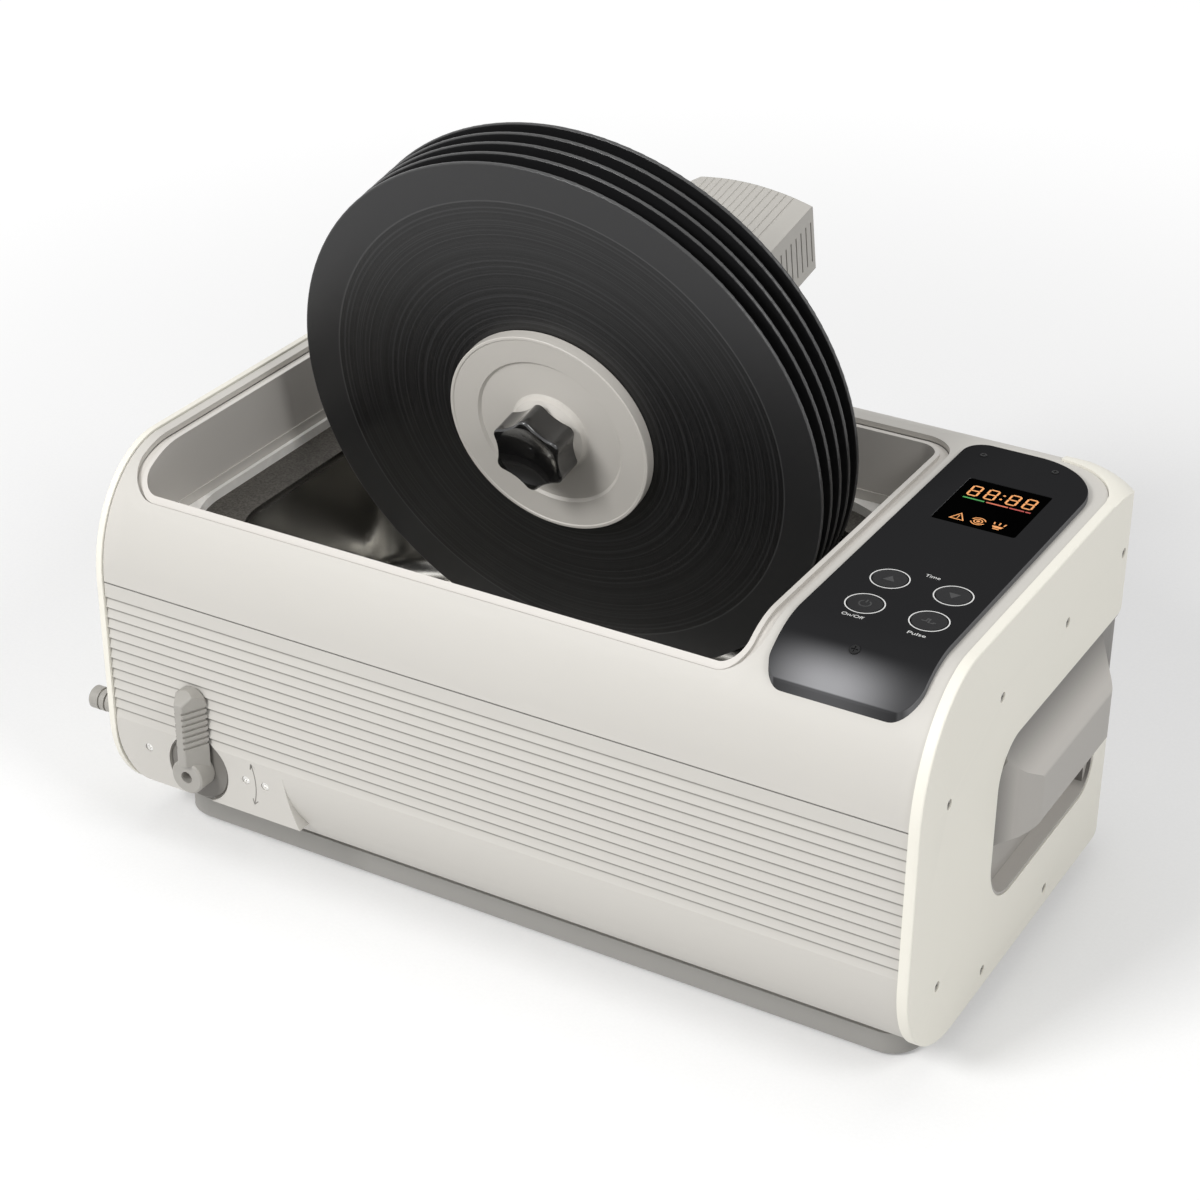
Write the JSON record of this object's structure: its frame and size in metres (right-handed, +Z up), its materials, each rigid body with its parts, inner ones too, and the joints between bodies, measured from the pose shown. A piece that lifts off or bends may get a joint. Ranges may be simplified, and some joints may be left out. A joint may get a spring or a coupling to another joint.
{
  "type": "ultrasonic record cleaner",
  "caption": "Bench-top ultrasonic bath that turns gramophone records on a tilted motor spindle over a steel tank, with a key panel, drain lever and side grips.",
  "frame": {"origin": "on the floor under the middle of the base tray, in the underside of the rubber mat", "axes": "+X to the right along the length, +Y to the back, +Z up"},
  "size_m": [0.5121, 0.3608, 0.3939],
  "materials": {
    "housing_plastic": "fine matt moulding texture, warm light grey",
    "cap_plastic": "satin moulding, cream white",
    "grip_plastic": "satin, mid warm grey",
    "grey_plastic": "matt grey",
    "head_plastic": "matt warm grey",
    "clamp_plastic": "satin light grey",
    "lever_plastic": "satin light grey",
    "black_plastic": "satin black",
    "gloss_black": "gloss black",
    "record_vinyl": "grooved gloss black",
    "black_rubber": "matt black",
    "pale_gasket": "matt pale grey",
    "hose_rubber": "matt grey",
    "heater_silicone": "matt red brown",
    "tank_steel": "brushed stainless steel",
    "screw_steel": "plain steel",
    "motor_steel": "plated steel",
    "aluminium": "turned",
    "brass": "machined",
    "board_green": "solder mask"
  },
  "bodies": {
    "body": {"base_tray": "grey_plastic", "rubber_mat": "black_rubber", "lower_shell": "housing_plastic", "upper_housing": "housing_plastic", "end_cap_left": "cap_plastic", "end_cap_right": "cap_plastic", "handle_left": "grip_plastic", "handle_right": "grip_plastic", "cap_screws": "screw_steel", "well_liner": "grey_plastic", "tank_gasket": "pale_gasket", "tank": "tank_steel", "drain_fitting": "screw_steel", "drain_hose": "hose_rubber", "valve_body": "brass", "valve_bezel": "grip_plastic", "outlet_pipe": "grip_plastic", "valve_screws": "screw_steel", "transducer_1": "aluminium", "transducer_2": "aluminium", "transducer_3": "aluminium", "heater_pads": "heater_silicone", "driver_board": "board_green", "fan_frame": "black_plastic", "power_inlet": "black_plastic", "panel_cover": "gloss_black", "display_lens": "gloss_black", "display_board": "board_green", "panel_screws": "screw_steel", "head_cover": "head_plastic", "head_base": "head_plastic", "bearing_block": "aluminium", "bearings": "screw_steel", "motor_mount": "aluminium", "gear_motor": "motor_steel", "head_pedestal": "head_plastic", "pedestal_screws": "screw_steel"},
    "spindle": {"spindle_shaft": "screw_steel", "spindle_gear": "brass", "inner_flange": "grip_plastic", "record_spacers": "black_rubber", "record_1": "record_vinyl", "record_2": "record_vinyl", "record_3": "record_vinyl", "record_4": "record_vinyl", "record_5": "record_vinyl"},
    "clamp": {"clamp_disc": "clamp_plastic"},
    "knob": {"star_knob": "black_plastic"},
    "motor_pinion": {"motor_pinion": "brass"},
    "drain_lever": {"drain_lever": "lever_plastic"},
    "fan_rotor": {"fan_rotor": "black_plastic"},
    "key_time_up": {"key_time_up": "gloss_black"},
    "key_time_down": {"key_time_down": "gloss_black"},
    "key_power": {"key_power": "gloss_black"},
    "key_pulse": {"key_pulse": "gloss_black"}
  },
  "joints": [
    {"name": "spindle_spin", "type": "hinge", "parent": "body", "child": "spindle", "pos_m": [-0.0375, -0.008, 0.238], "axis": [0, 0.9806, 0.1958], "continuous": true},
    {"name": "motor_pinion_spin", "type": "hinge", "parent": "body", "child": "motor_pinion", "pos_m": [-0.0135, -0.008, 0.238], "axis": [0, 0.9806, 0.1958], "continuous": true},
    {"name": "clamp_slide", "type": "slide", "parent": "spindle", "child": "clamp", "axis": [0, -0.9806, -0.1958], "range_m": [0, 0.00375]},
    {"name": "knob_turn", "type": "hinge", "parent": "clamp", "child": "knob", "pos_m": [-0.0375, -0.008, 0.238], "axis": [0, -0.9806, -0.1958], "range_deg": [0, 1080]},
    {"name": "drain_lever_turn", "type": "hinge", "parent": "body", "child": "drain_lever", "pos_m": [-0.1762, -0.11, 0.0604], "axis": [0, 1, 0], "range_deg": [0, 90]},
    {"name": "fan_spin", "type": "hinge", "parent": "body", "child": "fan_rotor", "pos_m": [0.16, 0.125, 0.1], "axis": [0, 1, 0], "continuous": true},
    {"name": "key_time_up_press", "type": "slide", "parent": "body", "child": "key_time_up", "axis": [0, 0, -1], "range_m": [0, 0.0008], "stiffness_N_per_m": 400, "springref_m": -0.0003},
    {"name": "key_time_down_press", "type": "slide", "parent": "body", "child": "key_time_down", "axis": [0, 0, -1], "range_m": [0, 0.0008], "stiffness_N_per_m": 400, "springref_m": -0.0003},
    {"name": "key_power_press", "type": "slide", "parent": "body", "child": "key_power", "axis": [0, 0, -1], "range_m": [0, 0.0008], "stiffness_N_per_m": 400, "springref_m": -0.0003},
    {"name": "key_pulse_press", "type": "slide", "parent": "body", "child": "key_pulse", "axis": [0, 0, -1], "range_m": [0, 0.0008], "stiffness_N_per_m": 400, "springref_m": -0.0003}
  ],
  "couplings": [
    {"joint": "motor_pinion_spin", "follows": "spindle_spin", "ratio": -2},
    {"joint": "knob_turn", "follows": "clamp_slide", "rad_per_m": 5026.5}
  ]
}
